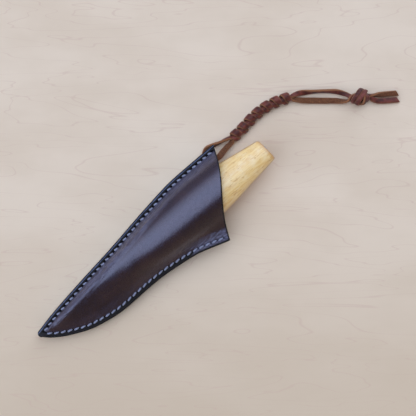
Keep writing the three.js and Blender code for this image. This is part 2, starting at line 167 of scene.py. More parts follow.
# The picture's own directions in the row frame, as seen from straight above.
VIEW_TURN = math.radians(38.59)
PICTURE_RIGHT = Vector((math.cos(VIEW_TURN), -math.sin(VIEW_TURN), 0))
PICTURE_UP = Vector((math.sin(VIEW_TURN), math.cos(VIEW_TURN), 0))
TOWARDS_CAMERA = Vector((0, 0, 1))


def add_camera():
    elevation = math.radians(89.77)
    target = Vector((37.18, -4.43, 0)) * MM
    distance = 441.65 * MM
    picture_width = 251.17 * MM
    back = TOWARDS_CAMERA * math.sin(elevation) - PICTURE_UP * math.cos(elevation)
    up = back.cross(PICTURE_RIGHT)
    data = bpy.data.cameras.new("camera")
    data.sensor_width = 36
    data.lens = data.sensor_width * distance / picture_width
    data.clip_start = 0.01
    camera = bpy.data.objects.new("camera", data)
    turn = Matrix((PICTURE_RIGHT, up, back)).transposed().to_4x4()
    camera.matrix_world = Matrix.Translation(target + back * distance) @ turn
    bpy.context.scene.collection.objects.link(camera)
    bpy.context.scene.camera = camera


add_camera()

# ------------------------------------------------------------------ meshes


def add_mesh(name, points, faces, material, marks=None):
    """A smooth-shaded mesh object from points in millimetres; marks are numbers kept per point."""
    mesh = bpy.data.meshes.new(name)
    mesh.from_pydata((np.asarray(points) * MM).tolist(), [], faces)
    for key, values in (marks or {}).items():
        mesh.attributes.new(key, "FLOAT", "POINT").data.foreach_set("value", np.ravel(values))
    work = bmesh.new()
    work.from_mesh(mesh)
    bmesh.ops.recalc_face_normals(work, faces=work.faces)
    work.to_mesh(mesh)
    work.free()
    mesh.polygons.foreach_set("use_smooth", [True] * len(mesh.polygons))
    mesh.materials.append(material)
    piece = bpy.data.objects.new(name, mesh)
    bpy.context.scene.collection.objects.link(piece)
    return piece


def loft_faces(ring_count, size, first=0):
    """Faces of a closed body through rings of equal size, each end closed by strips."""
    faces = []
    for i in range(ring_count - 1):
        near, far = first + i * size, first + (i + 1) * size
        for k in range(size):
            after = (k + 1) % size
            faces.append((near + k, far + k, far + after, near + after))
    for end in (first, first + (ring_count - 1) * size):
        for k in range(size // 2 - 1):
            across = size - 1 - k
            faces.append((end + k, end + k + 1, end + across - 1, end + across))
    return faces


def add_loft(name, rings, material, marks=None):
    rings = np.asarray(rings, float)
    faces = loft_faces(rings.shape[0], rings.shape[1])
    return add_mesh(name, rings.reshape(-1, 3), faces, material, marks)


def catmull_rom(rows, samples):
    """A smooth run through rows of numbers, with so many samples to each gap."""
    rows = np.asarray(rows, float)
    padded = np.vstack([2 * rows[0] - rows[1], rows, 2 * rows[-1] - rows[-2]])
    t = (np.arange(samples) / samples)[:, None]
    parts = []
    for i in range(len(rows) - 1):
        a, b, c, d = padded[i:i + 4]
        parts.append(0.5 * (2 * b + (c - a) * t + (2 * a - 5 * b + 4 * c - d) * t**2
                            + (3 * b - a - 3 * c + d) * t**3))
    parts.append(rows[-1:])
    return np.vstack(parts)


UP = np.array([0, 0, 1.0])


def unit(vectors):
    return vectors / np.linalg.norm(vectors, axis=-1, keepdims=True)


def reach_along(points):
    """The distance along a line of points, from its start to each of them."""
    return np.concatenate([[0], np.cumsum(np.linalg.norm(np.diff(points, axis=0), axis=1))])


def ring_angles(count):
    """Angles round a ring of so many points, starting half a step in."""
    return (np.arange(count) + 0.5) * 2 * math.pi / count


def squared_off(wave, power):
    """A sine or cosine made fuller, for a rounded oblong instead of an oval."""
    return np.sign(wave) * np.abs(wave) ** power


# ------------------------------------------------------------------ materials


class Shader:
    """A material's node tree, with short calls for the nodes used here."""

    def __init__(self, name, **settings):
        self.material = bpy.data.materials.new(name)
        self.material.use_nodes = True
        self.nodes = self.material.node_tree.nodes
        self.links = self.material.node_tree.links
        self.surface = self.nodes["Principled BSDF"]
        for socket, value in settings.items():
            self.surface.inputs[socket.replace("_", " ")].default_value = value

    def node(self, kind, **settings):
        made = self.nodes.new(kind)
        for key, value in settings.items():
            setattr(made, key, value)
        return made

    def feed(self, socket, value):
        if isinstance(value, bpy.types.NodeSocket):
            self.links.new(value, socket)
        else:
            socket.default_value = value

    def place(self, stretch=(1, 1, 1), turn=(0, 0, 0)):
        """The piece's own coordinates in millimetres, stretched after a turn."""
        coordinates = self.node("ShaderNodeTexCoord").outputs["Object"]
        turned = self.node("ShaderNodeMapping")
        self.feed(turned.inputs["Vector"], coordinates)
        turned.inputs["Rotation"].default_value = turn
        scaled = self.node("ShaderNodeMapping")
        self.feed(scaled.inputs["Vector"], turned.outputs["Vector"])
        scaled.inputs["Scale"].default_value = [1 / (MM * size) for size in stretch]
        return scaled.outputs["Vector"]

    def noise(self, vector, detail=3.0, roughness=0.55, distortion=0.0):
        made = self.node("ShaderNodeTexNoise")
        self.feed(made.inputs["Vector"], vector)
        made.inputs["Scale"].default_value = 1
        made.inputs["Detail"].default_value = detail
        made.inputs["Roughness"].default_value = roughness
        made.inputs["Distortion"].default_value = distortion
        return made.outputs["Fac"]

    def cells(self, vector, feature="F1"):
        made = self.node("ShaderNodeTexVoronoi", feature=feature)
        self.feed(made.inputs["Vector"], vector)
        made.inputs["Scale"].default_value = 1
        return made.outputs["Distance"]

    def mark(self, name):
        return self.node("ShaderNodeAttribute", attribute_name=name).outputs["Fac"]

    def math(self, operation, a, b=0.0):
        made = self.node("ShaderNodeMath", operation=operation)
        self.feed(made.inputs[0], a)
        self.feed(made.inputs[1], b)
        return made.outputs[0]

    def fit(self, value, low, high, to_low=0.0, to_high=1.0):
        made = self.node("ShaderNodeMapRange", interpolation_type="SMOOTHSTEP")
        self.feed(made.inputs["Value"], value)
        for socket, number in zip(("From Min", "From Max", "To Min", "To Max"),
                                  (low, high, to_low, to_high)):
            self.feed(made.inputs[socket], number)
        return made.outputs["Result"]

    def blend(self, amount, a, b):
        made = self.node("ShaderNodeMix", data_type="RGBA")
        self.feed(made.inputs["Factor"], amount)
        self.feed(made.inputs[6], a)
        self.feed(made.inputs[7], b)
        return made.outputs[2]

    def colour(self, value):
        self.feed(self.surface.inputs["Base Color"], value)

    def roughness(self, value):
        self.feed(self.surface.inputs["Roughness"], value)

    def relief(self, *layers):
        """Bumps in millimetres: each layer is (height, depth)."""
        normal = None
        for height, depth in layers:
            bump = self.node("ShaderNodeBump")
            self.feed(bump.inputs["Height"], height)
            bump.inputs["Distance"].default_value = depth * MM
            if normal is not None:
                self.feed(bump.inputs["Normal"], normal)
            normal = bump.outputs["Normal"]
        self.feed(self.surface.inputs["Normal"], normal)
        self.feed(self.surface.inputs["Coat Normal"], normal)


def rgb(red, green, blue):
    """A colour given as the eye sees it, 0 to 255, turned into light."""
    return tuple((c / 12.92 if c <= 0.04045 else ((c + 0.055) / 1.055) ** 2.4)
                 for c in (red / 255, green / 255, blue / 255)) + (1.0,)


def leather_material():
    """Dark brown dyed leather, polished: fine grain; wrinkled margins, their lilac partly painted
    reflection;
    a black rim and groove, burnished and pressed and partly painted shade; and a bluish line along the
    spine's rim, a painted highlight."""
    shader = Shader("dark_leather", Coat_Weight=0.86, Coat_Roughness=0.14, Coat_IOR=1.5,
                    Specular_IOR_Level=0.75, Specular_Tint=(0.62, 0.6, 1.0, 1.0))
    cloudy = shader.noise(shader.place((14, 9, 9)), detail=4)
    mottled = shader.noise(shader.place((2.2, 2.2, 2.2)), detail=5)
    pores = shader.cells(shader.place((0.55, 0.45, 0.5)))
    wrinkles = shader.noise(shader.place((7, 1.5, 2.5), turn=(0, 0, -0.15)), detail=5, distortion=0.8)
    brown = shader.blend(shader.fit(cloudy, 0.3, 0.7), rgb(34, 22, 23), rgb(50, 33, 31))
    brown = shader.blend(shader.fit(mottled, 0.35, 0.75, 0, 0.5), brown, rgb(27, 19, 22))
    margin = shader.mark("margin")
    scuffs_and_reflection = shader.math("MULTIPLY", margin, shader.fit(wrinkles, 0.4, 0.62, 0.3, 0.8))
    # Lilac on the wrinkled margins: partly scuffed leather, partly painted reflection of the cool light
    # from above.
    brown = shader.blend(scuffs_and_reflection, brown, rgb(80, 80, 102))
    # Black at the burnished rim, and in the pressed groove, where it is partly painted shade.
    brown = shader.blend(shader.mark("rim"), brown, rgb(12, 13, 18))
    # A painted highlight: the bluish line along the spine side's rounded rim.
    shader.colour(shader.blend(shader.mark("bead_highlight"), brown, rgb(50, 68, 96)))
    worn = shader.fit(mottled, 0.3, 0.8, 0.24, 0.34)
    shader.roughness(shader.math("ADD", worn, shader.math("MULTIPLY", margin, 0.08)))
    wrinkle_height = shader.math("MULTIPLY", wrinkles, shader.math("ADD", margin, 0.02))
    shader.relief((wrinkle_height, 1.3), (pores, 0.02), (mottled, 0.03))
    return shader.material


def rim_material():
    """The burnished side of the welt: waxed black leather with faint layers. It also covers the panels'
    rims and stitching grooves, where its black is partly painted shade.
    """
    shader = Shader("burnished_edge_and_groove_shade", Coat_Weight=0.15, Coat_Roughness=0.2, Specular_IOR_Level=0.12)
    layers = shader.noise(shader.place((9, 9, 0.35)), detail=4)
    shader.colour(shader.blend(shader.fit(layers, 0.3, 0.7), rgb(9, 8, 10), rgb(26, 21, 24)))
    shader.roughness(shader.fit(layers, 0.2, 0.8, 0.4, 0.6))
    shader.relief((layers, 0.05))
    return shader.material


def thread_material():
    """Waxed dark thread with the turns of its plies; its lilac-grey, palest on the ply crests, is a
    painted highlight.
    """
    shader = Shader("waxed_thread", Sheen_Weight=0.3, Sheen_Roughness=0.4)
    plies = shader.node("ShaderNodeTexWave", wave_type="BANDS", bands_direction="DIAGONAL")
    shader.feed(plies.inputs["Vector"], shader.place((0.9, 0.9, 0.9)))
    plies.inputs["Scale"].default_value = 1.0
    plies.inputs["Distortion"].default_value = 0.6
    height = plies.outputs["Fac"]
    # The lilac-grey tones are a painted highlight on dark thread, palest on the ply crests.
    shader.colour(shader.blend(height, rgb(84, 86, 104), rgb(166, 170, 196)))
    shader.roughness(shader.fit(height, 0, 1, 0.5, 0.36))
    shader.relief((height, 0.06))
    return shader.material


def lace_material():
    """Reddish brown lace leather: a smooth grain side, and a paler fibrous suede side and edges."""
    shader = Shader("lace_leather", Sheen_Weight=0.1, Sheen_Roughness=0.5, Specular_IOR_Level=0.25)
    patches = shader.noise(shader.place((3.2, 3.2, 3.2)), detail=4)
    fibres = shader.noise(shader.place((0.5, 0.5, 0.5)), detail=5, roughness=0.7)
    grain_side = shader.blend(shader.fit(patches, 0.3, 0.7), rgb(66, 28, 23), rgb(122, 60, 48))
    suede_side = shader.blend(shader.fit(fibres, 0.3, 0.72), rgb(62, 35, 22), rgb(142, 92, 60))
    suede_side = shader.blend(shader.fit(patches, 0.35, 0.7, 0, 0.5), suede_side, rgb(98, 54, 32))
    side = shader.mark("grain_side")
    both = shader.blend(side, suede_side, grain_side)
    raw_edge = shader.math("MULTIPLY", shader.mark("raw_edge"), 0.8)
    shader.colour(shader.blend(raw_edge, both, rgb(152, 102, 68)))
    shader.roughness(shader.fit(side, 0, 1, 0.9, 0.46))
    fuzz = shader.math("MULTIPLY", fibres, shader.fit(side, 0, 1, 1, 0.2))
    shader.relief((fuzz, 0.28), (patches, 0.12))
    return shader.material


def birch_material():
    """Oiled birch: pale gold with straight fine grain, small dark flecks and pale patches of painted
    sheen;
    darker at its end grain, and along its two sides as painted shade.
    """
    shader = Shader("oiled_birch", Coat_Weight=1.0, Coat_Roughness=0.32)
    along = (0, KNIFE_TILT, -KNIFE_YAW)
    rings = shader.noise(shader.place((70, 1.1, 3.2), along), detail=4, distortion=0.25)
    grain = shader.noise(shader.place((10, 0.8, 0.8), along), detail=5, roughness=0.65)
    flecks = shader.noise(shader.place((3.4, 0.7, 0.7), along), detail=2)
    painted_sheen = shader.noise(shader.place((5, 2.6, 2.6), along), detail=3)
    wood = shader.blend(shader.fit(rings, 0.25, 0.75), rgb(231, 182, 106), rgb(250, 214, 144))
    wood = shader.blend(shader.fit(grain, 0.4, 0.68, 0, 0.7), wood, rgb(250, 218, 154))
    # Pale, nearly white patches: a painted sheen.
    wood = shader.blend(shader.fit(painted_sheen, 0.4, 0.7, 0, 0.3), wood, rgb(255, 236, 196))
    wood = shader.blend(shader.fit(flecks, 0.58, 0.7, 0, 0.7), wood, rgb(206, 152, 84))
    # Darker at the end grain of both ends, and along both sides as painted shade.
    wood = shader.blend(shader.math("MULTIPLY", shader.mark("rim"), 0.75), wood, rgb(184, 124, 66))
    shader.colour(wood)
    shader.roughness(shader.fit(grain, 0.2, 0.8, 0.36, 0.5))
    shader.relief((grain, 0.05), (flecks, 0.03))
    return shader.material


def steel_material():
    """Carbon steel: a satin flat with fine scratches along it, and a brighter honed bevel."""
    shader = Shader("carbon_steel", Metallic=1.0)
    along = (0, KNIFE_TILT, -KNIFE_YAW)
    scratches = shader.noise(shader.place((14, 0.12, 0.12), along), detail=4)
    stains = shader.noise(shader.place((9, 5, 5), along), detail=4)
    bevel = shader.mark("bevel")
    flat = shader.blend(shader.fit(stains, 0.35, 0.75), rgb(168, 170, 172), rgb(138, 138, 141))
    shader.colour(shader.blend(bevel, flat, rgb(206, 208, 210)))
    brushed = shader.fit(scratches, 0.25, 0.75, 0.24, 0.42)
    shader.roughness(shader.math("SUBTRACT", brushed, shader.math("MULTIPLY", bevel, 0.12)))
    shader.relief((scratches, 0.012))
    return shader.material


# ------------------------------------------------------------------ the lanyard's two laces

# Each row of a lace: x, y, z, the way that its grain side faces, its width, and how far it is
# moved sideways to lie beside the other lace. z is never lower than the table.
LACE_WIDTH = 3.2
LACE_THICKNESS = 1.8
BRAID_ROUTE = [
    (74.6, 19.2, 3.4), (78.5, 19.2, 3.5), (83.7, 19.8, 3.5), (89.7, 20.8, 3.5), (95.2, 21.3, 3.5),
    (100.8, 21.2, 3.5), (107.4, 20.0, 3.5), (113.6, 17.9, 3.5), (117.0, 16.4, 3.3),
]
KNOT_COUNT = 7
BRAID_RADIUS = 2.0
BRAID_OFFSET = 0.6  # each lace's turns are centred this far to its own side
BRAID_LEAN = math.radians(35)  # how far up the first lace's side of the braid is turned
BRAID_TAPER = 0.45  # in knots: the length over which each end of the braid is drawn in
BRAID_BULGE = 0.45  # how far the lace stands out where it crosses over the other
INNER_LACE_DROP = 0.3  # how much nearer the axis the lace seen least runs
TURN_STEPS = 14


def braid_frame(fraction):
    """A point on the braid's axis and its level sideways direction, towards +Y."""
    line = catmull_rom(BRAID_ROUTE, 24)
    reach = reach_along(line)
    goal = fraction * reach[-1]
    behind, point, ahead = (
        np.array([np.interp(goal + step, reach, line[:, axis]) for axis in range(3)])
        for step in (-0.5, 0, 0.5)
    )
    run = ahead - behind
    aside = np.array([-run[1], run[0], 0.0])
    return point, aside / np.linalg.norm(aside)


def braid_rows(own_side):
    """One lace's turns round the braid; own_side is 1 for the lace seen most, and -1 for the other."""
    rows = []
    steps = KNOT_COUNT * TURN_STEPS
    for step in range(steps + 1):
        fraction = step / steps
        angle = BRAID_LEAN + 2 * math.pi * (KNOT_COUNT * fraction - 0.5)
        if own_side < 0:
            angle += math.pi
        centre, aside = braid_frame(fraction)
        out = aside * math.cos(angle) + UP * math.sin(angle)
        lean = aside * math.cos(BRAID_LEAN) + UP * math.sin(BRAID_LEAN)
        from_end = min(fraction, 1 - fraction) * KNOT_COUNT
        radius = BRAID_RADIUS * (0.72 + 0.28 * float(smooth(from_end / BRAID_TAPER)))
        if own_side < 0:
            radius -= INNER_LACE_DROP
        facing = own_side * float(out @ lean)  # 1 where the lace is on its own side
        radius += BRAID_BULGE * max(facing, 0) ** 2
        point = centre + lean * (own_side * BRAID_OFFSET) + out * radius
        width = 3.6 + 0.9 * facing if own_side > 0 else 2.6 + 0.3 * facing
        rows.append((*point, *out, width, 0))
    return rows


# The end knot, seen along its own axis: forward, towards +Y's side, and up from its middle.
KNOT_MIDDLE = np.array([149.5, -8.9, 4.2])
KNOT_FORWARD = np.array([0.813, -0.583, 0])
KNOT_ASIDE = np.array([0.583, 0.813, 0])
KNOT_ROUTE = [
    # forward, aside, up, grain side's forward, aside, up, width, beside
    (-3.4, 0.2, -0.4, 0, -0.5, 0.9, 2.6, 0.5),
    (-0.4, 0.8, -0.6, 0, 0, 1, 2.3, 0.8),
    (2.2, 2.3, -0.9, 0.3, 0.3, 0.8, 2.3, 1.0),
    (2.5, 3.5, 0.9, 0.3, 0.9, 0.4, 2.6, 1.25),
    (1.1, 2.3, 2.8, 0.1, 0.5, 0.9, 2.9, 1.4),
    (-0.7, 0.1, 3.3, -0.1, 0.0, 1, 2.9, 1.4),
    (-2.3, -2.1, 2.4, -0.3, -0.5, 0.8, 2.9, 1.4),
    (-2.9, -3.4, 0.3, -0.5, -0.9, 0.1, 2.7, 1.3),
    (-1.4, -3.0, -2.1, -0.3, -0.7, -0.8, 2.6, 1.2),
    (1.2, -2.0, -3.0, 0.2, -0.4, -0.9, 2.6, 1.2),
    (3.0, -3.0, -1.2, 0.5, -0.8, -0.5, 2.6, 1.2),
    (3.6, -2.9, 0.9, 0.7, -0.8, 0.3, 2.7, 1.2),
    (3.8, -0.9, 2.3, 0.7, -0.2, 0.7, 2.7, 1.1),
    (3.6, 1.0, 1.2, 0.6, 0.3, 0.7, 2.4, 0.8),
    (3.9, 0.6, -0.6, 0.3, 0.2, 0.9, 2.4, 0.6),
]


def knot_rows(beside):
    """The end knot's route for one lace; beside is 1 or -1, its side of the pair."""
    rows = []
    axes = np.array([KNOT_FORWARD, KNOT_ASIDE, UP])
    for row in KNOT_ROUTE:
        point = KNOT_MIDDLE + np.array(row[:3]) @ axes
        rows.append((*point, *(np.array(row[3:6]) @ axes), row[6], row[7] * beside))
    return rows


LACES = {
    "lace_first": {
        "before": [
            (50.2, 15.7, 7.4, 0.9, 0.0, -0.2, 3.0, 0), (50.5, 15.7, 9.1, 0.6, 0.0, -0.8, 3.0, 0),
            (52.8, 15.6, 10.6, 0.1, 0.0, -1, 3.1, 0), (57.2, 15.3, 10.6, 0, 0, -1, 3.4, 0),
            (61.4, 15.2, 9.3, -0.1, 0.1, -1, 3.6, 0), (65.2, 16.2, 6.2, -0.2, 0.1, -1, 3.6, 0),
            (69.3, 17.0, 3.8, -0.1, -0.1, -1, 3.3, 0), (72.4, 17.4, 2.9, 0, -0.4, -0.9, 2.9, 0),
        ],
        "own_side": 1,
        "strand": [
            (121.8, 10.9, 1.7, 0.1, -0.2, -1, 3.5, 0), (129.5, 4.6, 1.4, 0, 0, -1, 3.7, 0),
            (137.2, -1.7, 1.5, 0, 0, -1, 3.5, 0), (142.6, -6.2, 2.4, -0.55, -0.75, -0.4, 3.0, -0.3),
        ],
        "beside": -1,
        "tail": [
            (156.2, -16.6, 1.9, -0.1, 0, 1, 3.3, 0), (160.8, -20.4, 1.5, 0, 0, 1, 3.6, 0),
            (167.3, -24.8, 1.4, 0, 0, 1, 3.5, 0),
        ],
        "end_slant": 1.0,
        "replaces": ["lace_leg_inner", "lace_braid", "lace_strand_lower", "lace_tail_lower"],
    },
    "lace_second": {
        "before": [
            (50.2, 15.7, 6.5, -0.9, 0, 0.2, 3.0, 0), (50.4, 16.1, 4.6, -0.8, -0.3, -0.3, 3.0, 0),
            (52.4, 18.3, 2.3, -0.2, -0.2, -1, 3.1, 0), (55.5, 21.9, 1.8, 0.1, 0.3, -1, 3.2, 0),
            (58.6, 23.8, 1.8, 0.2, 0.6, -0.75, 3.4, 0), (62.4, 23.3, 2.0, 0.2, 0.85, -0.45, 3.5, 0),
            (67.0, 21.9, 2.4, 0.1, 0.95, -0.1, 3.4, 0), (71.0, 21.1, 3.3, 0, 0.9, 0.3, 3.1, 0),
        ],
        "own_side": -1,
        "strand": [
            (123.0, 15.3, 2.3, -0.3, -0.2, 1, 3.3, 0), (129.7, 11.1, 2.1, -0.62, -0.76, 0.3, 3.5, 0),
            (135.9, 6.6, 2.1, -0.64, -0.76, 0.25, 3.5, 0), (141.2, 2.0, 2.2, -0.5, -0.6, 0.6, 3.3, 0),
            (144.7, -2.6, 2.9, -0.2, -0.3, 0.9, 2.8, 0.3),
        ],
        "beside": 1,
        "tail": [
            (156.6, -13.0, 2.3, 0.5, 0.8, 0.1, 3.2, 0), (161.8, -16.4, 1.6, 0.3, 0.5, -0.9, 3.4, 0),
            (169.4, -21.4, 1.5, 0.1, 0.3, -1, 3.3, 0),
        ],
        "end_slant": -0.9,
        "replaces": ["lace_leg_outer", "lace_strand_upper", "lace_end_knot", "lace_tail_upper"],
    },
}
SECTION_POINTS = 16
LACE_SAMPLES = 3
LACE_GAP = 1.5  # rows of a lace are brought about this close before they are joined
SLANT_LENGTH = 3.5  # how far back from its cut end a lace is sheared by end_slant
NARROWEST = 2.6  # below this width a lace gets no thicker
TABLE_GAP = 0.05  # the laces lie this far above the table


def lace_line(rows):
    """Centre points, sideways and grain-side directions, and widths along a lace."""
    fine = catmull_rom(rows, LACE_SAMPLES)
    points = fine[:, :3]
    run = unit(np.gradient(points, axis=0))
    facing = fine[:, 3:6]
    facing = unit(facing - run * np.sum(facing * run, axis=1, keepdims=True))
    across = np.cross(run, facing)
    points = points + across * fine[:, 7:8]
    return points, across, facing, fine[:, 6]


def add_lace(name, facts, material):
    """One lace from the hole to its cut end, marked for its grain side and its raw edges."""
    rows = [*facts["before"], *braid_rows(facts["own_side"]), *facts["strand"],
            *knot_rows(facts["beside"]), *facts["tail"]]
    points, across, facing, widths = lace_line(densified(rows))
    angles = ring_angles(SECTION_POINTS)
    side = squared_off(np.cos(angles), 0.5)
    rise = squared_off(np.sin(angles), 0.6)
    thickness = LACE_THICKNESS * (LACE_WIDTH / np.maximum(widths, NARROWEST)) ** 0.4
    rings = (points[:, None] + across[:, None] * (side * widths[:, None] / 2)[..., None]
             + facing[:, None] * (rise * thickness[:, None] / 2)[..., None])
    run = unit(np.gradient(points, axis=0))
    reach = reach_along(points)
    slanted = facts["end_slant"] * smooth(1 - (reach[-1] - reach) / SLANT_LENGTH)
    rings += run[:, None] * (side * slanted[:, None])[..., None]
    rings[..., 2] = np.maximum(rings[..., 2], TABLE_GAP)
    grain_side = np.broadcast_to(smooth((rise - 0.62) / 0.3), rings.shape[:2])
    raw_edge = np.broadcast_to(smooth((np.abs(side) - 0.86) / 0.1), rings.shape[:2])
    piece = add_loft(name, rings, material, {"grain_side": grain_side, "raw_edge": raw_edge})
    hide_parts(*facts["replaces"])
    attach(piece, "sheath")


def densified(rows):
    """Rows no more than about LACE_GAP apart, so that the whole lace is sampled alike."""
    rows = np.asarray(rows, float)
    gaps = np.linalg.norm(np.diff(rows[:, :3], axis=0), axis=1)
    parts = []
    padded = np.vstack([2 * rows[0] - rows[1], rows, 2 * rows[-1] - rows[-2]])
    for i, gap in enumerate(gaps):
        pieces = max(1, math.ceil(gap / LACE_GAP))
        parts.append(catmull_rom(padded[i:i + 4], pieces)[pieces:2 * pieces])
    parts.append(rows[-1:])
    return np.vstack(parts)


LACE_LEATHER = lace_material()
for lace_name, lace_facts in LACES.items():
    add_lace(lace_name, lace_facts, LACE_LEATHER)

# ------------------------------------------------------------------ the sheath's stations


def outline_point(side, s):
    x = TIP_X + (MOUTH_X[side] - TIP_X) * s
    return np.stack([x, OUTLINE[side](x)], axis=-1)


class Lines:
    """Straight lines in plan from the sheath's edge side to its spine side, one to each s."""

    def __init__(self, s):
        self.s = np.asarray(s, float)
        self.start = outline_point("edge", self.s)
        across = outline_point("spine", self.s) - self.start
        self.width = np.linalg.norm(across, axis=-1)
        self.direction = across / self.width[:, None]

    def inset(self, side, distance):
        """How far along each line a square distance in from the outline lies."""
        step = 0.002
        run = unit(outline_point(side, self.s + step) - outline_point(side, self.s - step))
        turn = np.abs(run[:, 0] * self.direction[:, 1] - run[:, 1] * self.direction[:, 0])
        return distance / turn

    def flange(self, side):
        return np.minimum(self.inset(side, WELT_WIDTH), self.width * 0.46)

    def place(self, w, z):
        """Points w across each line at heights z; both have a row for each line."""
        wave = MOUTH_WAVE * self.s[:, None] ** 3 * np.sin(2 * math.pi * w / self.width[:, None])
        x = self.start[:, :1] + self.direction[:, :1] * w - wave
        y = self.start[:, 1:] + self.direction[:, 1:] * w
        return np.stack([x, y, np.broadcast_to(z, w.shape)], axis=-1)


# Columns across a seam's flange, as parts of its width, closer at the rim, crease and stitches.
FLANGE_PARTS = np.array([
    0, 0.03, 0.075, 0.13, 0.19, 0.235, 0.265, 0.295, 0.33, 0.39, 0.47, 0.53, 0.57, 0.605, 0.635,
    0.67, 0.72, 0.79, 0.88,
])
MIDDLE_COLUMNS = 60
BACK_MIDDLE_COLUMNS = 26
FRONT_STATIONS = 330
OTHER_STATIONS = 230  # for the back panel and the welts
RIM_RADIUS = 1.1  # of the panels' rounded outer edge
RIM_LEAN = {"edge": 0.75, "spine": 0.3}  # how far the front's flanges lean down to their rims
CREASE_INSET = 1.2
CREASE_DEPTH = 0.24
CREASE_HALF_WIDTH = 0.2
GROOVE_DEPTH = 0.3
GROOVE_HALF_WIDTH = 0.55
TIP_ROUNDING = 1.3
MOUTH_ROUNDING = 0.75


def columns(lines, count=MIDDLE_COLUMNS):
    """w for each line: close columns over both flanges and even ones between."""
    left = lines.flange("edge")[:, None]
    right = lines.flange("spine")[:, None]
    middle = np.linspace(0, 1, count + 1)
    width = lines.width[:, None]
    by_edge = left * FLANGE_PARTS
    between = left + (width - left - right) * middle
    by_spine = width - (right * FLANGE_PARTS)[:, ::-1]
    return np.concatenate([by_edge, between, by_spine], axis=1)


def from_side(lines, w, side):
    """Square distance in from one side of the outline."""
    across = w if side == "edge" else lines.width[:, None] - w
    return across / lines.inset(side, 1.0)[:, None]


def from_outline(lines, w):
    """Square distance in from the nearer side."""
    return np.minimum(from_side(lines, w, "edge"), from_side(lines, w, "spine"))


def dent(distance, at, half_width):
    """1 at a distance from the outline, falling off softly either way."""
    return np.exp(-(((distance - at) / half_width) ** 2))


def rim_drop(distance):
    """How far the rounded rim lies below the flat of the flange."""
    inside = np.clip(1 - distance / RIM_RADIUS, 0, 1)
    return RIM_RADIUS * 0.8 * (1 - np.sqrt(1 - inside**2))


def blurred(profile, passes):
    """A profile softened by so many passes, with its ends held."""
    for _ in range(passes):
        middle = (profile[:-2] + 2 * profile[1:-1] + profile[2:]) / 4
        profile = np.concatenate([profile[:1], middle, profile[-1:]])
    return profile


def upper_hull(w, z):
    """Leather pulled tight over points, as its height at each of them."""
    kept = []
    for k in range(len(w)):
        while len(kept) > 1:
            a, b = kept[-2:]
            turn = (w[b] - w[a]) * (z[k] - z[a]) - (z[b] - z[a]) * (w[k] - w[a])
            if turn < 0:
                break
            kept.pop()
        kept.append(k)
    return np.interp(w, w[kept], z[kept])


DRAPE_SAMPLES = 161
DRAPE_SOFTENING = 30  # passes over the inner face
COVER_SOFTENING = 6  # passes over the outer face

# By the mouth the leather is pressed down round the handle: 0 is leather pulled tight from seam
# to seam, and 1 is leather that follows the form.
PRESSED = 0.2


def front_heights(lines, w):
    """Inner and outer heights of the front panel at w, for every line."""
    inner = np.empty_like(w)
    outer = np.empty_like(w)
    left, right = lines.flange("edge"), lines.width - lines.flange("spine")
    mouthward = smooth((lines.s - 0.45) / 0.4)
    levels = seam_lift(lines.s) + LEATHER + GLUE_LINE + WELT + GLUE_LINE
    for i, level in enumerate(levels):
        across = np.linspace(0, lines.width[i], DRAPE_SAMPLES)
        plan = Lines(lines.s[i:i + 1]).place(across[None], 0)[0]
        z = np.maximum(form_top(plan[:, 0], plan[:, 1]), level)
        z = np.where((across > left[i]) & (across < right[i]), z, level)
        pulled = np.where((across >= left[i]) & (across <= right[i]), z, level)
        span = (across >= left[i] - 1e-6) & (across <= right[i] + 1e-6)
        if span.sum() > 2:
            tight = upper_hull(across[span], np.r_[level, pulled[span][1:-1], level])
            pulled[span] = tight + (pulled[span] - tight) * PRESSED * mouthward[i]
        pulled = blurred(pulled, DRAPE_SOFTENING)
        gap = across[:, None] - across[None]
        reach = np.sqrt(np.maximum(LEATHER**2 - gap**2, 0))
        cover = np.where(np.abs(gap) < LEATHER, pulled[None] + reach, FAR_BELOW).max(axis=1)
        cover = blurred(cover, COVER_SOFTENING)
        inner[i] = np.interp(w[i], across, pulled)
        outer[i] = np.interp(w[i], across, cover)
    return inner, outer


BACK_SLOPE_WIDTH = 9.0


def back_heights(lines, w):
    """The back panel's outer, lower face: a flat band on the table between the lifted seams."""
    left = lines.flange("edge")[:, None]
    right = (lines.width - lines.flange("spine"))[:, None]
    slope = np.minimum(BACK_SLOPE_WIDTH, (right - left) * 0.4)
    depth = np.minimum(w - left, right - w) / slope
    return seam_lift(lines.s)[:, None] * (1 - smooth(depth))


END_ANGLES = np.radians([18, 36, 54, 70, 82])  # round a panel's two rounded ends
THINNEST_END = 0.2  # what is left of the thickness at the mouth's rim


def closed_ends(lower, upper):
    """Rings through a panel's two faces, rounded off past the tip and past the mouth."""
    rings = np.concatenate([lower, upper[:, ::-1]], axis=1)
    middle = (rings + rings[:, ::-1]) / 2
    mouth = []
    outward = unit(rings[-1] - rings[-4])
    for angle in END_ANGLES:
        squeezed = middle[-1] + (rings[-1] - middle[-1]) * max(math.cos(angle), THINNEST_END)
        mouth.append(squeezed + outward * MOUTH_ROUNDING * math.sin(angle))
    tip = []
    centre = rings[0].mean(axis=0)
    for angle in END_ANGLES[::-1]:
        narrowed = rings[0].copy()
        narrowed[:, :2] = centre[:2] + (rings[0][:, :2] - centre[:2]) * math.cos(angle)
        narrowed[:, 0] -= TIP_ROUNDING * math.sin(angle)
        drop = np.clip((narrowed[:, 2] - centre[2]) * 0.12 * math.sin(angle), -0.3, 0.3)
        narrowed[:, 2] -= drop
        tip.append(narrowed)
    return np.concatenate([tip, rings, mouth])


def station_numbers(count):
    """s for each line, closer at the narrow tip, leaving room for the rounded ends."""
    first = TIP_ROUNDING / (MOUTH_X["edge"] - TIP_X)
    last = 1 - MOUTH_ROUNDING / (MOUTH_X["edge"] - TIP_X)
    return first + (last - first) * np.linspace(0, 1, count) ** 1.15


# ------------------------------------------------------------------ seams


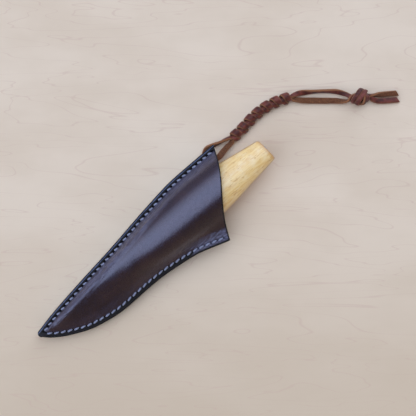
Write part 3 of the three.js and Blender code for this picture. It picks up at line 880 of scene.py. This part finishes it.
class Seam:
    """A row of stitches, a set distance in from one side of the outline."""

    def __init__(self, side, first, last):
        self.side = side
        s = first + (last - first) * np.linspace(0, 1, 400)
        lines = Lines(s)
        w = lines.inset(side, STITCH_INSET)
        w = w if side == "edge" else lines.width - w
        points = lines.place(w[:, None], 0)[:, 0]
        self.s, self.points, self.reach = s, points, reach_along(points)
        self.count = round(self.reach[-1] / STITCH_PITCH)
        self.inward = 1 if side == "edge" else -1

    def plan(self, distance):
        return np.stack([np.interp(distance, self.reach, self.points[:, a]) for a in (0, 1)], -1)

    def at(self, distance):
        """Plan points, run directions and s at distances along the seam."""
        step = 0.3
        run = unit(self.plan(distance + step) - self.plan(distance - step))
        return self.plan(distance), run, np.interp(distance, self.reach, self.s)

    def holes(self):
        """The same at each of the awl's holes."""
        return self.at(self.reach[-1] * np.arange(self.count + 1) / self.count)


SEAMS = {"edge": Seam("edge", 0.035, 0.975), "spine": Seam("spine", 0.03, 0.985)}
HOLE_DEPTH = 1.0
HOLE_RADIUS = 0.62
HOLE_REACH = 2  # points further off than this aren't moved by a hole


def pressed_by_holes(points, sign):
    """Moves a panel's outer face inwards at the awl's holes."""
    flat = points.reshape(-1, 3)
    for seam in SEAMS.values():
        centres, runs, _ = seam.holes()
        for centre, run in zip(centres, runs):
            gap = flat[:, :2] - centre
            near = np.abs(gap).max(axis=1) < HOLE_REACH
            along = gap[near] @ run
            aside = gap[near] @ np.array([-run[1], run[0]])
            slit = ((along + 0.5 * aside) / (HOLE_RADIUS * 0.8)) ** 2 + (aside / HOLE_RADIUS) ** 2
            flat[near, 2] -= sign * HOLE_DEPTH * np.exp(-slit)
    return flat.reshape(points.shape)


# Creases pressed beside the edge seam by the mouth: distance past the flange, and depth.
BONING_CREASES = [(0.8, 0.42), (2.2, 0.3), (3.6, 0.18)]
BONING_HALF_WIDTH = 0.36

# How high the leather stands beside the spine seam in the half towards the tip. It is there to
# catch the light as in the photo; the CAD part has no such shoulder.
SPINE_SHOULDER = 1.9
SHOULDER_START, SHOULDER_RUN = 2.7, 1.9  # where it starts to rise, in from the spine, and over what


def spine_shoulder(lines, w):
    """How far the leather is lifted beside the spine seam, towards the tip."""
    by_edge = from_side(lines, w, "edge")
    by_spine = from_side(lines, w, "spine")
    middle = np.maximum(by_edge + by_spine - 2 * WELT_WIDTH, 1)
    slope = np.clip((by_edge - WELT_WIDTH) / middle, 0, 1)
    tipward = smooth((lines.s - 0.02) / 0.1) * (1 - smooth((lines.s - 0.4) / 0.22))
    return SPINE_SHOULDER * tipward[:, None] * slope * smooth((by_spine - SHOULDER_START) / SHOULDER_RUN)


def seam_relief(lines, distance):
    """How deep the crease and the stitching groove are pressed in, and where there is a seam."""
    seamed = smooth((lines.s - 0.012) / 0.03)[:, None]
    crease = CREASE_DEPTH * dent(distance, CREASE_INSET, CREASE_HALF_WIDTH)
    groove = GROOVE_DEPTH * dent(distance, STITCH_INSET, GROOVE_HALF_WIDTH)
    return (crease + groove) * seamed, seamed


def front_panel(material):
    """The panel that is drawn over the knife."""
    lines = Lines(station_numbers(FRONT_STATIONS))
    w = columns(lines)
    inner, outer = front_heights(lines, w)
    distance = from_outline(lines, w)
    relief, seamed = seam_relief(lines, distance)
    outer = outer - rim_drop(distance) - relief
    near_mouth = smooth((lines.s - 0.62) / 0.3)[:, None]
    edge_lean = RIM_LEAN["edge"] * (1 - near_mouth)
    lean = np.where(w < lines.width[:, None] / 2, edge_lean, RIM_LEAN["spine"])
    outer -= lean * np.clip(1 - distance / WELT_WIDTH, 0, 1) * seamed
    for past, depth in BONING_CREASES:
        crease = dent(from_side(lines, w, "edge"), WELT_WIDTH + past, BONING_HALF_WIDTH)
        outer -= depth * near_mouth * crease
    outer += spine_shoulder(lines, w)
    outside = pressed_by_holes(lines.place(w, outer), 1)
    rings = closed_ends(lines.place(w, inner), outside)
    add_panel("sheath_front", "front_panel", rings, lines, w, material)


def back_panel(material):
    """The flat panel that lies on the table, bored for the lace."""
    lines = Lines(station_numbers(OTHER_STATIONS))
    w = columns(lines, BACK_MIDDLE_COLUMNS)
    lower = back_heights(lines, w)
    upper = lower + LEATHER
    distance = from_outline(lines, w)
    relief, _ = seam_relief(lines, distance)
    lower = lower + rim_drop(distance) + relief
    outside = pressed_by_holes(lines.place(w, lower), -1)
    rings = closed_ends(outside, lines.place(w, upper))
    piece = add_panel("sheath_back", "back_panel", rings, lines, w, material)
    bore_lace_hole(piece)


# Where the painted highlight, a bluish line, runs along the spine side's rim.
BEAD_HIGHLIGHT_INSET, BEAD_HIGHLIGHT_HALF_WIDTH = 0.85, 0.28  # the bluish line along the spine side's rim
# The groove is dark partly from pressing and partly as painted shade.
PRESSED_AND_SHADED_GROOVE = (1.05, 2.95)  # where the blackened groove by the seams starts and ends
MARGIN_WIDTH = 3.5  # of the wrinkled band that fades out past the welt


def panel_marks(lines, w):
    """What is marked for colour: the burnished rim and the groove, partly painted shade; the wrinkled
    margins, partly painted reflection; and the bluish painted highlight along the spine's rim.
    """
    distance = from_outline(lines, w)
    burnished = 1 - smooth((distance - 0.6) / 0.9)
    burnished = np.maximum(burnished, smooth((lines.s - 0.9895) / 0.006)[:, None] * 0.8)
    # The wrinkled margin: its wrinkles are real, its lilac is painted reflection, strongest on the spine
    # side that faces the light.
    wrinkles_and_reflection = 1 - smooth((distance - WELT_WIDTH - 1.5) / MARGIN_WIDTH)
    spine_side = smooth((w / lines.width[:, None] - 0.4) / 0.2)
    near_mouth = smooth((lines.s - 0.72) / 0.2)[:, None]
    wrinkles_and_reflection = wrinkles_and_reflection * (0.15 + 0.85 * np.maximum(spine_side, 0.8 * near_mouth))
    wrinkles_and_reflection = wrinkles_and_reflection * (0.35 + 0.65 * smooth((lines.s - 0.08) / 0.3))[:, None]
    # The painted highlight runs only on the spine side, which faces the light.
    bead_highlight = dent(distance, BEAD_HIGHLIGHT_INSET, BEAD_HIGHLIGHT_HALF_WIDTH) * spine_side
    # The groove is dark partly from pressing and partly as painted shade; on the edge side it fades out
    # towards the mouth.
    start, end = PRESSED_AND_SHADED_GROOVE
    groove = smooth((distance - start) / 0.2) * (1 - smooth((distance - end) / 0.3))
    groove = groove * np.maximum(spine_side, 1 - near_mouth)
    return {"rim": np.maximum(burnished, groove), "margin": wrinkles_and_reflection, "bead_highlight": bead_highlight}


def add_panel(name, node, rings, lines, w, material):
    """A panel's piece, marked for colour on both faces; its rim and groove are of the rim's material."""
    extra = (rings.shape[0] - w.shape[0]) // 2  # rings in each rounded end
    marks = {}
    for key, values in panel_marks(lines, w).items():
        both = np.concatenate([values, values[:, ::-1]], axis=1)
        marks[key] = np.pad(both, ((extra, extra), (0, 0)), mode="edge")
    marks["rim"][:extra] = 1
    marks["rim"][-extra:] = 1
    piece = add_loft(name, rings, material, marks)
    piece.data.materials.append(WELT_LEATHER)
    rims = (marks["rim"] - marks["bead_highlight"]).ravel()
    for face in piece.data.polygons:
        face.material_index = int(rims[list(face.vertices)].mean() > 0.5)
    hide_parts(node)
    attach(piece, "sheath")
    return piece


def cut_away(piece, tool):
    """Subtracts a tool piece, which isn't kept."""
    cutter = piece.modifiers.new("cut", "BOOLEAN")
    cutter.operation = "DIFFERENCE"
    cutter.solver = "EXACT"
    cutter.object = tool
    graph = bpy.context.evaluated_depsgraph_get()
    mesh = bpy.data.meshes.new_from_object(piece.evaluated_get(graph))
    piece.modifiers.clear()
    piece.data = mesh
    bpy.data.objects.remove(tool)


BORE_SIDES = 32


def bore_lace_hole(piece):
    """Cuts the lace's hole through a piece."""
    angles = np.arange(BORE_SIDES) * 2 * math.pi / BORE_SIDES
    ring = np.stack([np.cos(angles), np.sin(angles), np.zeros(BORE_SIDES)], -1) * LACE_HOLE_RADIUS
    rings = [ring + np.array([*LACE_HOLE, z]) for z in (-5, 30)]
    cut_away(piece, add_loft("lace_hole_tool", rings, piece.data.materials[0]))


def welt(side, material):
    """The strip between the panels, with its burnished outer side slightly bulged."""
    lines = Lines(station_numbers(OTHER_STATIONS))
    width = lines.flange(side)[:, None]
    z = seam_lift(lines.s)[:, None] + LEATHER + GLUE_LINE
    rise = np.array([0, 0.18, 0.5, 0.82, 1]) * WELT
    bulge = np.array([0, 0.1, 0.16, 0.1, 0])
    outer = -bulge * np.ones_like(width)
    inner = width * np.ones_like(bulge)
    across = np.concatenate([outer, inner], axis=1)
    heights = z + np.concatenate([rise, rise[::-1]])
    if side == "spine":
        across = lines.width[:, None] - across
    points = lines.place(across, heights)
    piece = add_loft(f"welt_{side}", points, material)
    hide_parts(f"{side}_welt")
    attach(piece, "sheath")


STITCH_SLANT = 0.32  # how far each end of a stitch lies from the row, to opposite sides
STITCH_SPAN = {"edge": 0.7, "spine": 0.56}  # part of the pitch between its two ends
THREAD_RADIUS = 0.55
THREAD_DIVE = 0.5  # how far under the groove a stitch's ends go
THREAD_ARCH = 0.75  # how far its middle rises from its ends
THREAD_FLATNESS = 0.9
STITCH_RINGS = 9
STITCH_SIDES = 8


def stitch_rings(seam, first, front):
    """One stitch between two holes: a strand that arches out of one and dives into the next."""
    t = np.linspace(0, 1, STITCH_RINGS)
    pitch = seam.reach[-1] / seam.count
    reach = pitch * (first + 0.5 + STITCH_SPAN[seam.side] * (t - 0.5))
    plan, run, s = seam.at(reach)
    aside = np.stack([-run[:, 1], run[:, 0]], -1) * seam.inward
    slant = STITCH_SLANT * (2 * t - 1)
    plan = plan + aside * slant[:, None]
    arch = 1 - np.abs(2 * t - 1) ** 3
    height = -GROOVE_DEPTH - THREAD_DIVE + THREAD_ARCH * arch
    level = seam_lift(s) + (STACK + height if front else -height)
    centre = np.concatenate([plan, level[:, None]], axis=1)
    direction = unit(np.gradient(centre, axis=0))
    side = unit(np.cross(direction, UP))
    over = np.cross(side, direction)
    radius = THREAD_RADIUS * (0.55 + 0.45 * np.sqrt(np.clip(1 - (2 * t - 1) ** 4, 0, 1)))
    angles = ring_angles(STITCH_SIDES)
    return (centre[:, None] + side[:, None] * (np.cos(angles) * radius[:, None])[..., None]
            + over[:, None] * (np.sin(angles) * radius[:, None] * THREAD_FLATNESS)[..., None])


def seam_thread(side, material):
    """All of a seam's stitches, front and back, as one piece."""
    seam = SEAMS[side]
    points, faces = [], []
    for front in (True, False):
        for first in range(seam.count):
            rings = stitch_rings(seam, first, front)
            start = len(points) * STITCH_RINGS * STITCH_SIDES
            faces += loft_faces(STITCH_RINGS, STITCH_SIDES, start)
            points.append(rings.reshape(-1, 3))
    piece = add_mesh(f"stitches_{side}", np.concatenate(points), faces, material)
    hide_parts(f"{side}_seam_thread")
    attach(piece, "sheath")


SHEATH_LEATHER = leather_material()
WELT_LEATHER = rim_material()
THREAD = thread_material()
front_panel(SHEATH_LEATHER)
back_panel(SHEATH_LEATHER)
for seam_side in SEAMS:
    welt(seam_side, WELT_LEATHER)
    seam_thread(seam_side, THREAD)

# ------------------------------------------------------------------ the knife


def in_row_frame(points):
    """Points along the knife's own axis, tilted and turned to where it lies."""
    turn = Matrix.Rotation(KNIFE_YAW, 3, "Z") @ Matrix.Rotation(-KNIFE_TILT, 3, "Y")
    return np.asarray(points) @ np.array(turn).T + np.array([0, 0, KNIFE_AXIS_Z])


HANDLE_EDGE = 1.3  # radius of the handle's rounded ends
HANDLE_SIDES = 72
HANDLE_FULLNESS = 2 / 2.2  # the power that makes its section fuller than an oval
SLANT_START_X = 56  # the butt's slant grows from here
RIM_BAND = 2.2  # how far in from each end the wood is darker


def handle(material):
    """The birch handle: an oval body with softened ends, slotted for the tang."""
    corner = np.radians([0, 15, 30, 45, 60, 75, 90])
    inset = HANDLE_EDGE * (1 - np.cos(corner))
    front = [(HANDLE_FRONT_X + HANDLE_EDGE * (1 - math.sin(a)), d) for a, d in zip(corner, inset)]
    butt = [(HANDLE_BUTT_X - HANDLE_EDGE * (1 - math.sin(a)), d) for a, d in zip(corner, inset)]
    run = np.linspace(HANDLE_FRONT_X + HANDLE_EDGE, HANDLE_BUTT_X - HANDLE_EDGE, 90)[1:-1]
    sections = [*front[::-1], *((x, 0) for x in run), *butt]
    angles = ring_angles(HANDLE_SIDES)
    across = squared_off(np.sin(angles), HANDLE_FULLNESS)
    rise = squared_off(np.cos(angles), HANDLE_FULLNESS)
    rings, rims = [], []
    for x, drawn_in in sections:
        y = across * (handle_half_width(x) - drawn_in)
        z = rise * (handle_half_depth(x) - drawn_in)
        slant = BUTT_SLANT * smooth((x - SLANT_START_X) / (HANDLE_BUTT_X - SLANT_START_X))
        rings.append(np.stack([x - slant * y, y, z], -1))
        by_end = smooth(max(x - HANDLE_BUTT_X + RIM_BAND, HANDLE_FRONT_X + RIM_BAND - x) / RIM_BAND)
        # Painted shade along both sides of the oval.
        side_shade = 0.85 * smooth((np.abs(across) - 0.92) / 0.07)
        rims.append(np.maximum(by_end, side_shade))
    sawn_face = rings[-1] + (rings[-1].mean(axis=0) - rings[-1]) * 0.12
    rings.append(sawn_face)
    rims.append(np.full(len(angles), 0.55))
    piece = add_loft("handle_birch", in_row_frame(np.array(rings)), material, {"rim": np.array(rims)})
    slot = []
    for x, half in ((HANDLE_FRONT_X - 1, TANG_FRONT), (HANDLE_BUTT_X + 1, TANG_END)):
        reach, depth = half + TANG_CLEARANCE, BLADE_THICKNESS / 2 + TANG_CLEARANCE
        slot.append([(x, reach, depth), (x, reach, -depth), (x, -reach, -depth), (x, -reach, depth)])
    cut_away(piece, add_loft("slot_tool", in_row_frame(slot), material))
    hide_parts("handle")
    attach(piece, "knife")


BLADE_SECTIONS = 110
UNGROUND = 3.5  # a short stretch by the handle has no bevel


def blade(material):
    """The blade: flat sides, one wide bevel each side down to the edge, and a hidden tang."""
    heel = HANDLE_FRONT_X - TANG_CLEARANCE
    bevel_end = heel - UNGROUND
    rings, marks = [], []
    for x in BLADE_TIP_X + (heel - BLADE_TIP_X) * np.linspace(0, 1, BLADE_SECTIONS) ** 1.3:
        back, edge = blade_back(x), blade_edge(x)
        height = back - edge
        ground = 1 - 0.92 * smooth((x - bevel_end) / 2.5)
        flat = max(BLADE_THICKNESS / 2 * min(1, height / BEVEL_WIDTH), 0.1)
        shoulder = edge + min(BEVEL_WIDTH, height * 0.9) * ground
        keen = 0.05 + (flat - 0.15) * (1 - ground) if ground < 0.5 else 0.05
        soft = min(0.22, flat * 0.5)
        side = [(back, flat - soft), (back - soft, flat), (shoulder + 0.25, flat),
                (shoulder, flat - 0.02), (shoulder - 0.25, flat - 0.02 - 0.25 * flat / BEVEL_WIDTH),
                (edge + 0.45, keen + 0.1), (edge, keen)]
        loop = side + [(y, -z) for y, z in side[::-1]]
        rings.append([(x, y, z) for y, z in loop])
        bevel = [0, 0, 0, 0.4, 1, 1, 1]
        marks.append([ground * b for b in bevel + bevel[::-1]])
    points = [np.reshape(in_row_frame(rings), (-1, 3))]
    faces = loft_faces(len(rings), len(rings[0]))
    half = BLADE_THICKNESS / 2 - 0.05
    tang = [[(x, reach, half), (x, reach, -half), (x, -reach, -half), (x, -reach, half)]
            for x, reach in ((heel + 0.02, TANG_FRONT), (HANDLE_BUTT_X + 0.2, TANG_END))]
    faces += loft_faces(2, 4, len(points[0]))
    points.append(np.reshape(in_row_frame(tang), (-1, 3)))
    marked = np.concatenate([np.ravel(marks), np.zeros(len(points[1]))])
    piece = add_mesh("blade_steel", np.concatenate(points), faces, material, {"bevel": marked})
    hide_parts("blade")
    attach(piece, "knife")


handle(birch_material())
blade(steel_material())

# ------------------------------------------------------------------ table and light


TABLE_HALF = 900


def table():
    """A pale floor with faint grain lines, and painted shade that darkens it towards the picture's lower
    side.
    """
    shader = Shader("pale_table", Roughness=0.6)
    along = (0, 0, VIEW_TURN)
    tone = shader.noise(shader.place((90, 40, 90), along), detail=4)
    pale = shader.blend(shader.fit(tone, 0.35, 0.65), rgb(222, 199, 172), rgb(230, 208, 182))
    split = shader.node("ShaderNodeSeparateXYZ")
    shader.feed(split.inputs["Vector"], shader.place((1, 1, 1), along))
    # Painted shade: the floor is darker towards the picture's lower side, where the light falls off.
    near = shader.fit(split.outputs["Y"], 60, -150, 0, 0.75)
    pale = shader.blend(near, pale, rgb(202, 178, 148))
    growth = shader.noise(shader.place((190, 26, 90), along), detail=3, distortion=0.5)
    ring = shader.math("PINGPONG", shader.math("MULTIPLY", growth, 13.0), 0.5)
    faint = shader.fit(ring, 0.05, 0.0, 0, 0.35)
    shader.colour(shader.blend(faint, pale, rgb(206, 170, 148)))
    corners = [(x * TABLE_HALF, y * TABLE_HALF, 0) for x, y in ((-1, -1), (1, -1), (1, 1), (-1, 1))]
    piece = add_mesh("table", corners, [(0, 1, 2, 3)], shader.material)


# The light round the object, from the dark side of the room, over the zenith, and down to the
# bright side: how far a direction leans to the picture's upper left, and the light from there.
SKY = [
    (-1.00, (0.40, 0.31, 0.22)), (-0.60, (0.24, 0.17, 0.12)), (-0.30, (0.09, 0.07, 0.06)),
    (-0.21, (0.08, 0.08, 0.09)), (-0.11, (1.50, 1.80, 2.35)), (0.12, (1.80, 2.15, 2.75)),
    (0.42, (1.45, 1.65, 2.00)), (0.60, (0.85, 0.90, 1.10)), (0.76, (0.42, 0.42, 0.52)),
    (1.00, (0.34, 0.34, 0.42)),
]
SKY_PEAK = 2.8  # a ramp's colours end at 1, so they are divided by this, and the strength makes up


def room():
    """Cool light from overhead, strongest near the zenith, in a dim and warmer room."""
    world = bpy.data.worlds.new("room")
    world.use_nodes = True
    nodes, links = world.node_tree.nodes, world.node_tree.links
    direction = nodes.new("ShaderNodeTexCoord").outputs["Generated"]
    lean = nodes.new("ShaderNodeVectorMath")
    lean.operation = "DOT_PRODUCT"
    links.new(direction, lean.inputs[0])
    lean.inputs[1].default_value = (PICTURE_UP - PICTURE_RIGHT).normalized()
    ramp = nodes.new("ShaderNodeValToRGB")
    stops = ramp.color_ramp.elements
    while len(stops) < len(SKY):
        stops.new(0.5)
    # All positions come first, since a stop that moves past another can change places with it.
    for stop, (position, _) in zip(stops, SKY):
        stop.position = (position + 1) / 2
    for stop, (_, colour) in zip(stops, SKY):
        stop.color = (*(c / SKY_PEAK for c in colour), 1)
    to_unit = nodes.new("ShaderNodeMapRange")
    links.new(lean.outputs["Value"], to_unit.inputs["Value"])
    to_unit.inputs["From Min"].default_value = -1
    links.new(to_unit.outputs["Result"], ramp.inputs["Fac"])
    background = nodes["Background"]
    links.new(ramp.outputs["Color"], background.inputs["Color"])
    background.inputs["Strength"].default_value = SKY_PEAK
    bpy.context.scene.world = world


table()
room()
bpy.context.scene.view_settings.view_transform = "Standard"
